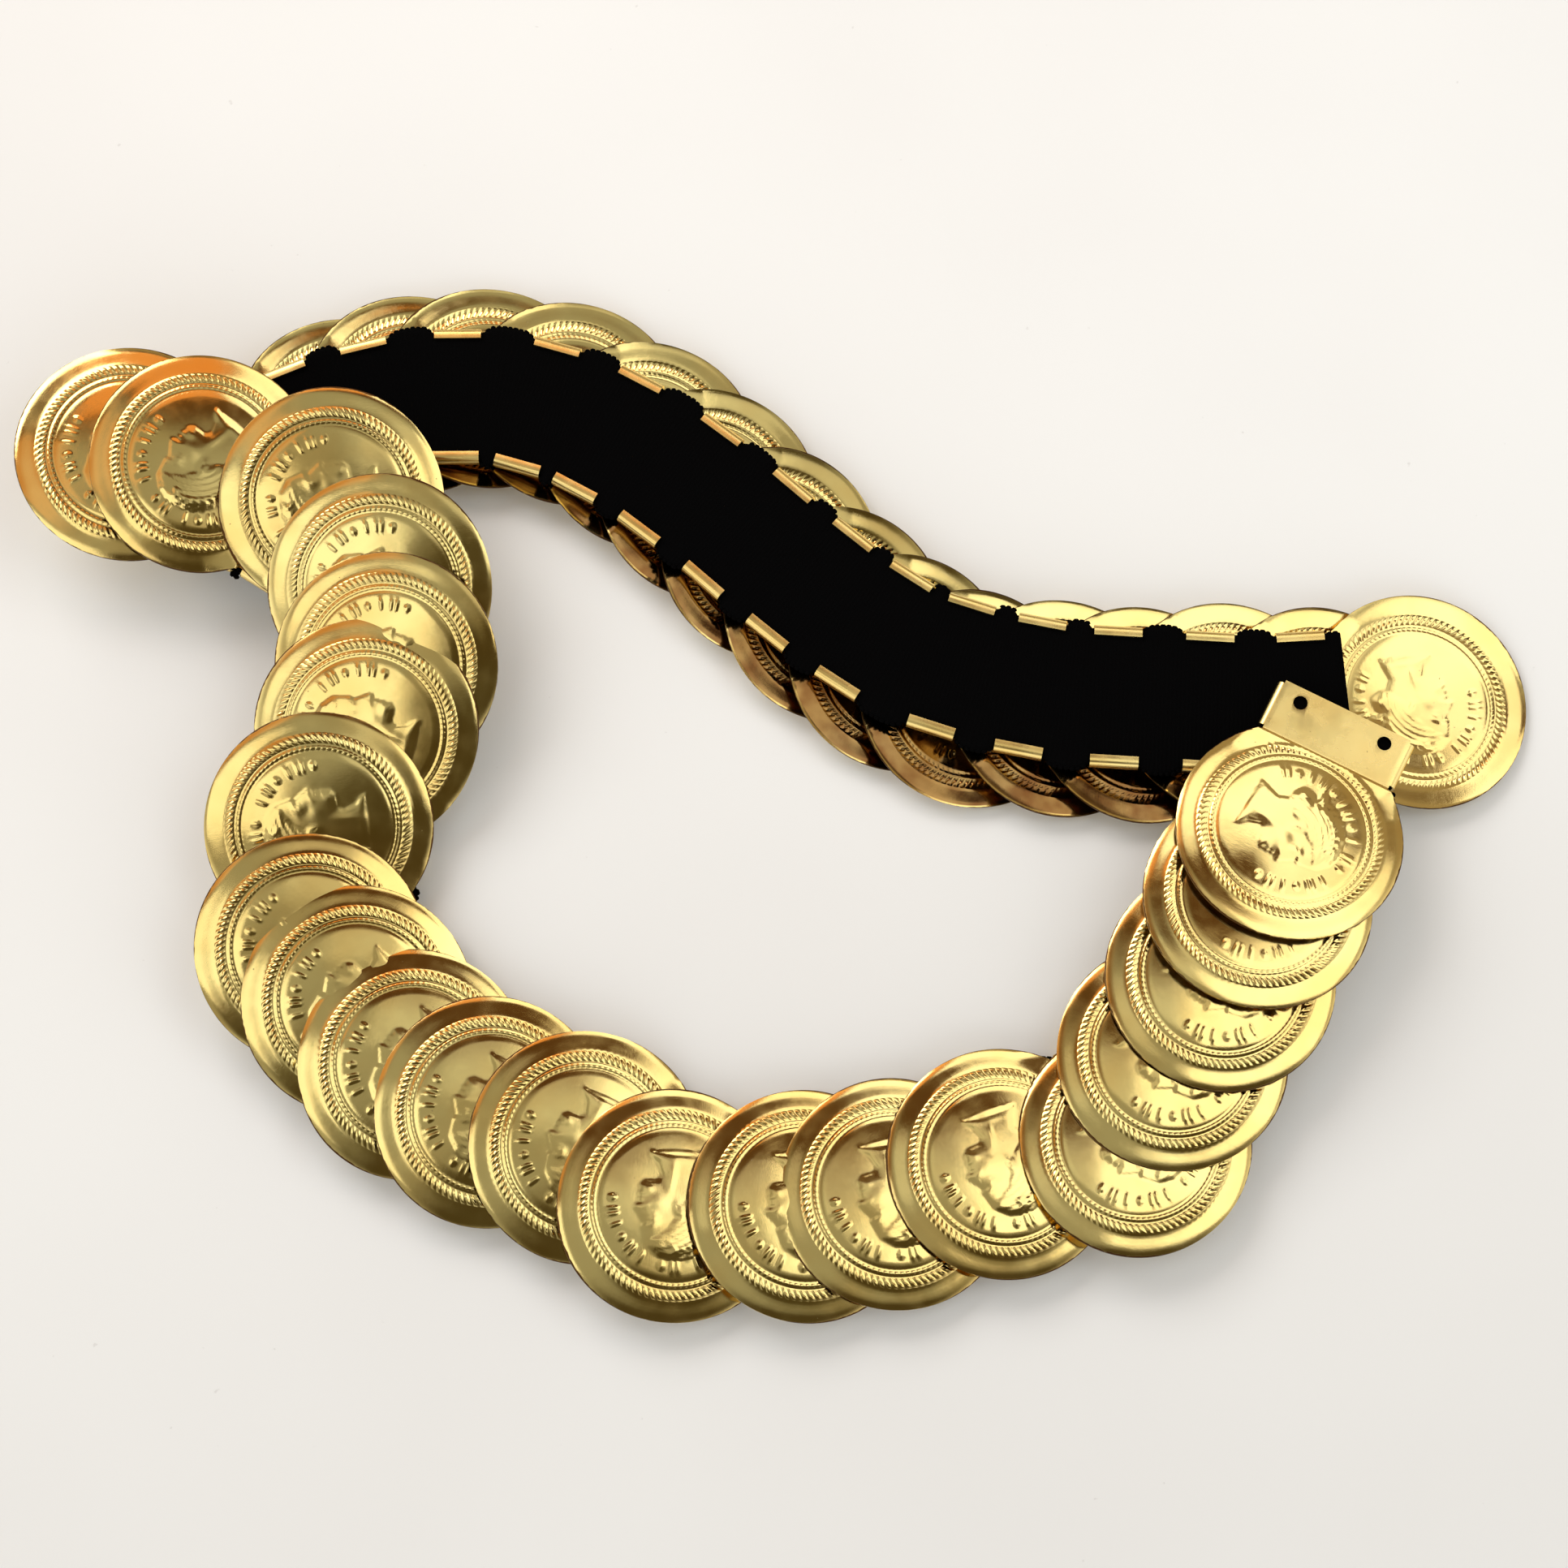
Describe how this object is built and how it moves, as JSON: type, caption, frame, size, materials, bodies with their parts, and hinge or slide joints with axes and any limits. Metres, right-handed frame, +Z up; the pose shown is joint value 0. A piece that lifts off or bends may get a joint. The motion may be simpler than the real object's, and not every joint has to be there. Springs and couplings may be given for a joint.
{
  "type": "medallion belt",
  "caption": "Stretch costume belt of overlapping stamped gold-tone medallions clipped along black ribbed elastic, lying dropped in a loose folded loop.",
  "frame": {"origin": "middle of the belt's box, on the surface that the belt lies on", "axes": "+X along the longest side of the heap, +Z up"},
  "size_m": [0.2776, 0.1956, 0.0226],
  "materials": {
    "black_elastic": "matte black knitted ribbed elastic, slightly fuzzy at its edges",
    "gold_medallion": "bright gold-tone plated stamped sheet, mirror-like, browned and nicked along its edges"
  },
  "bodies": {
    "root": {"elastic_band": "black_elastic", "medallion_01": "gold_medallion", "medallion_02": "gold_medallion", "medallion_03": "gold_medallion", "medallion_04": "gold_medallion", "medallion_05": "gold_medallion", "medallion_06": "gold_medallion", "medallion_07": "gold_medallion", "medallion_08": "gold_medallion", "medallion_09": "gold_medallion", "medallion_10": "gold_medallion", "medallion_11": "gold_medallion", "medallion_12": "gold_medallion", "medallion_13": "gold_medallion", "medallion_14": "gold_medallion", "medallion_15": "gold_medallion", "medallion_16": "gold_medallion", "medallion_17": "gold_medallion", "medallion_18": "gold_medallion", "medallion_19": "gold_medallion", "medallion_20": "gold_medallion", "medallion_21": "gold_medallion", "medallion_22": "gold_medallion", "medallion_23": "gold_medallion", "medallion_24": "gold_medallion", "medallion_25": "gold_medallion", "medallion_26": "gold_medallion", "medallion_27": "gold_medallion", "medallion_28": "gold_medallion", "medallion_29": "gold_medallion", "medallion_30": "gold_medallion", "medallion_31": "gold_medallion", "medallion_32": "gold_medallion", "medallion_33": "gold_medallion", "medallion_34": "gold_medallion", "medallion_35": "gold_medallion", "medallion_36": "gold_medallion"}
  },
  "joints": []
}
